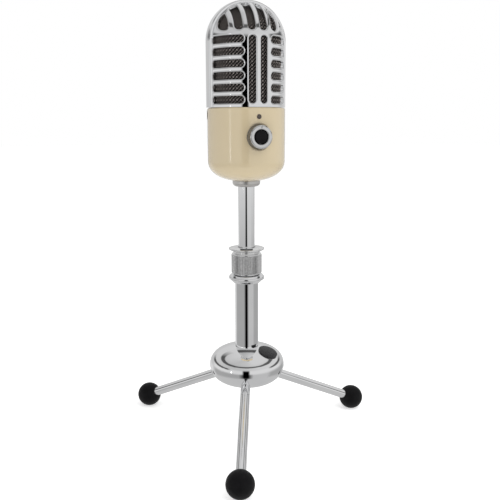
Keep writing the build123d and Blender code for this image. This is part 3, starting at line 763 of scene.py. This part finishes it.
def make_grilles():
    """The two halves of the slotted grille."""
    half = mirrored(*grille_quarter(), 0)
    place_piece("grille_front", shaded_mesh("grille_front", *half), "microphone", "chrome", "front_grille")
    flip = Vector((1, -1, 1))
    points = [point * flip for point in half[0]]
    faces = [tuple(reversed(face)) for face in half[1]]
    normals = [[normal * flip for normal in reversed(corners)] for corners in half[2]]
    place_piece("grille_rear", shaded_mesh("grille_rear", points, faces, normals), "microphone", "chrome",
                "rear_grille")


# ---- woven screen ------------------------------------------------------
def make_screen():
    """Stout wires wound one way at 45 degrees, with thin ones woven over and under them the other way."""
    radius = screen_radius
    wires = 60
    sides = 4
    low = 225.6
    spacing = 2 * pi / wires
    top_share = 0.33
    straight = (dome_center_z - low) / radius
    crossings = round((straight + log((1 + sqrt(1 - top_share**2)) / top_share)) / spacing * 2)
    climb = crossings * spacing / 2
    least_share = 0.45
    points = []
    faces = []
    for way, wire_radius, lift in ((1, 0.36, 0.0), (-1, 0.16, 0.5)):
        for wire in range(wires):
            first = len(points)
            for step in range(crossings + 1):
                height = climb * step / crossings
                turn = way * height + wire * spacing
                beyond = max(height - straight, 0)
                share = 1 / cosh(beyond)
                outward = Vector((sin(turn) * share, -cos(turn) * share, tanh(beyond)))
                middle = Vector((0, 0, low + min(height, straight) * radius))
                crossing = cos(2 * pi * height / spacing) * way
                center = middle + outward * (radius + lift * crossing * share)
                east = Vector((cos(turn), sin(turn), 0))
                across = (outward.cross(east) * way - east).normalized()
                for side in range(sides):
                    angle = 2 * pi * (side + 0.5) / sides
                    around = outward * sin(angle) + across * cos(angle)
                    points.append(center + around * wire_radius * max(share, least_share))
            for step in range(crossings):
                for side in range(sides):
                    here = first + step * sides
                    beside = (side + 1) % sides
                    faces.append((here + side, here + beside, here + sides + beside, here + sides + side))
            last = first + crossings * sides
            faces.append(tuple(first + side for side in reversed(range(sides))))
            faces.append(tuple(last + side for side in range(sides)))
    mesh = bpy.data.meshes.new("screen_weave")
    mesh.from_pydata([point * MM for point in points], [], faces)
    mesh.shade_smooth()
    place_piece("screen_weave", mesh, "microphone", "mesh", "mesh_basket")


# ---- turned parts ------------------------------------------------------
# A knurl is (ridges, least radius, depth, low, high), in mm.  The plain one gives 128 even sides.
no_knurl = (64, 0, 0, 0, 0)


def rounded_outline(corners, steps=4):
    """A closed outline of (radius, height) points from (radius, height, rounding) corners."""
    outline = []
    for number, (reach, height, rounding) in enumerate(corners):
        here = Vector((reach, height))
        before = Vector(corners[number - 1][:2]) - here
        after = Vector(corners[(number + 1) % len(corners)][:2]) - here
        if rounding == 0:
            outline.append(here)
            continue
        share = min(rounding, 0.45 * before.length, 0.45 * after.length)
        start = here + before.normalized() * share
        stop = here + after.normalized() * share
        for step in range(steps + 1):
            bend = step / steps
            outline.append(start * (1 - bend)**2 + here * (2 * bend * (1 - bend)) + stop * bend**2)
    return outline


def lathe_mesh(name, outline, knurl=no_knurl):
    """Turns a closed outline round Z."""
    ridges, least_reach, depth, low, high = knurl
    segments = 2 * ridges
    points = []
    faces = []
    count = len(outline)
    for step in range(segments):
        turn = 2 * pi * step / segments
        for reach, height in outline:
            if low <= height <= high and reach >= least_reach:
                reach -= depth * (step % 2)
            points.append(Vector((reach * sin(turn), -reach * cos(turn), height)) * MM)
        here = step * count
        beside = (step + 1) % segments * count
        for k in range(count):
            after = (k + 1) % count
            faces.append((here + k, beside + k, beside + after, here + after))
    mesh = bpy.data.meshes.new(name)
    mesh.from_pydata(points, [], faces)
    joined = bmesh.new()
    joined.from_mesh(mesh)
    bmesh.ops.remove_doubles(joined, verts=joined.verts, dist=1e-7)
    joined.to_mesh(mesh)
    joined.free()
    mesh.shade_smooth()
    mesh.set_sharp_from_angle(angle=radians(28))
    return mesh


def make_foam():
    """The foam liner, drawn in to clear the wires of the screen."""
    low = 225.2
    outer = 21.35
    inner = 19.6
    steps = 16
    turns = [pi / 2 * step / steps for step in range(steps + 1)]
    outside = [(outer * cos(turn), dome_center_z + outer * sin(turn)) for turn in turns]
    inside_arc = [(inner * cos(turn), dome_center_z + inner * sin(turn)) for turn in reversed(turns)]
    outline = [Vector(point) for point in [(inner, low), (outer, low), *outside, *inside_arc]]
    place_piece("foam_lining", lathe_mesh("foam_lining", outline), "microphone", "foam", "foam_liner")


def turned_piece(name, body, slot, node, corners, knurl=no_knurl, lean=None, finish=None):
    """A turned part in place of a CAD node, with rounded edges.  Lean places it off the column."""
    mesh = lathe_mesh(name, rounded_outline(corners), knurl=knurl)
    if lean:
        mesh.transform(lean)
    piece = place_piece(name, mesh, body, slot, node, finish=finish)
    even = piece.modifiers.new("even_shading", "WEIGHTED_NORMAL")
    even.keep_sharp = True
    return piece


def make_clutch():
    """The flanged seat on the lower tube and the knurled nut with its disc."""
    turned_piece("clutch_flange", "tripod", "chrome", "clutch_seat", [
        (8.0, 108.3, 0.2), (9.2, 108.3, 0.5), (11.0, 110.2, 0.9), (12.1, 110.9, 0.5), (12.1, 112.3, 0.5),
        (10.8, 113.7, 0.4), (8.8, 114.2, 0.3), (8.8, 124.4, 0.2), (7.1, 124.4, 0.2), (7.1, 113.0, 0.2),
        (8.0, 113.0, 0.2)])
    turned_piece("clutch_nut_body", "clutch_nut", "chrome", "clutch_collar", [
        (9.1, 115.0, 0.1), (10.0, 115.0, 0.1), (10.25, 115.4, 0.1), (10.25, 127.6, 0.1),
        (10.05, 127.6, 0.1), (10.05, 128.0, 0.3), (8.9, 129.1, 0.3), (8.9, 129.7, 0.3),
        (10.8, 130.4, 0.6), (12.1, 131.1, 0.35), (12.1, 131.9, 0.35), (8.9, 132.8, 0.4),
        (6.9, 132.6, 0.3), (5.9, 132.6, 0.15), (5.9, 127.0, 0.2), (9.1, 127.0, 0.2)],
        knurl=(56, 9.9, 0.45, 115.2, 127.6), finish=nut_finish)


def make_base_nut():
    """The satin nut under the cup."""
    turned_piece("base_nut", "microphone", "satin_metal", "base_ring", [
        (5.55, 173.5, 0.1), (7.2, 173.5, 0.4), (8.6, 174.3, 0.6), (9.2, 175.3, 0.4), (9.2, 177.4, 0.15),
        (6.05, 177.4, 0.1), (6.05, 174.6, 0.1), (5.55, 174.6, 0.1)])


def cut_box(piece, low, high):
    """Cuts a box, given by two corners in mm, out of a piece."""
    cutter_mesh = bpy.data.meshes.new("cutter")
    shape = bmesh.new()
    bmesh.ops.create_cube(shape, size=1.0)
    center = (Vector(low) + Vector(high)) / 2
    for vertex in shape.verts:
        vertex.co = (center + vertex.co * (Vector(high) - Vector(low))) * MM
    shape.to_mesh(cutter_mesh)
    shape.free()
    cutter = bpy.data.objects.new("cutter", cutter_mesh)
    bpy.context.scene.collection.objects.link(cutter)
    cut = piece.modifiers.new("cut", "BOOLEAN")
    cut.operation = "DIFFERENCE"
    cut.solver = "EXACT"
    cut.object = cutter
    piece.modifiers.move(len(piece.modifiers) - 1, 0)
    whole = bpy.data.meshes.new_from_object(piece.evaluated_get(bpy.context.evaluated_depsgraph_get()))
    piece.modifiers.clear()
    piece.data = whole
    bpy.data.objects.remove(cutter)
    bpy.data.meshes.remove(cutter_mesh)


def make_knob():
    """The knurled volume ring with its pointer notch, and the domed cap inside it."""
    knob_z = 206.35
    back_y = -24.9
    face_y = back_y - 5.3
    notch_half = 0.35
    notch_depth = 0.6
    notch_low = knob_z + 5.4
    notch_high = knob_z + 9
    cap_radius = 4.05
    cap_top = 5.55
    dome_radius = 20
    dome_steps = 6
    lean = Matrix.Translation(Vector((0, back_y, knob_z)) * MM) @ Matrix.Rotation(pi / 2, 4, "X")
    ring = turned_piece("volume_ring", "knob", "satin_metal", "volume_knob", [
        (3.4, -2.7, 0.1), (5.0, -2.7, 0.2), (5.0, 0.0, 0.05), (7.75, 0.0, 0.15), (8.05, 0.4, 0.2),
        (7.35, 4.6, 0.3), (6.7, 5.3, 0.5), (4.95, 5.3, 0.3), (4.45, 4.7, 0.3), (4.35, 4.4, 0.1),
        (4.35, 1.7, 0.1), (3.4, 1.7, 0.1)],
        knurl=(40, 7.3, 0.4, 0.3, 4.6), lean=lean, finish=ring_finish)
    cut_box(ring, (-notch_half, face_y - 1, notch_low), (notch_half, face_y + notch_depth, notch_high))
    dome = []
    for step in range(1, dome_steps + 1):
        reach = cap_radius * (1 - step / dome_steps)
        dome.append((reach, cap_top - dome_radius + sqrt(dome_radius**2 - reach**2), 0))
    turned_piece("mute_cap", "button", "black_gloss", "mute_button", [
        (0, -6.9, 0), (2.2, -6.9, 0.2), (2.2, 2.7, 0.2), (cap_radius, 2.7, 0.2), (cap_radius, 5.14, 0.4),
        *dome], lean=lean)


# ---- scene -------------------------------------------------------------
make_grilles()
make_screen()
make_foam()
make_clutch()
make_base_nut()
make_knob()
make_camera()
make_studio()
make_light("key_panel", 55, 50, 1.3, 1.0, 6.0)
make_light("fill_panel", -60, 40, 1.4, 1.0, 1.5)
make_floor()
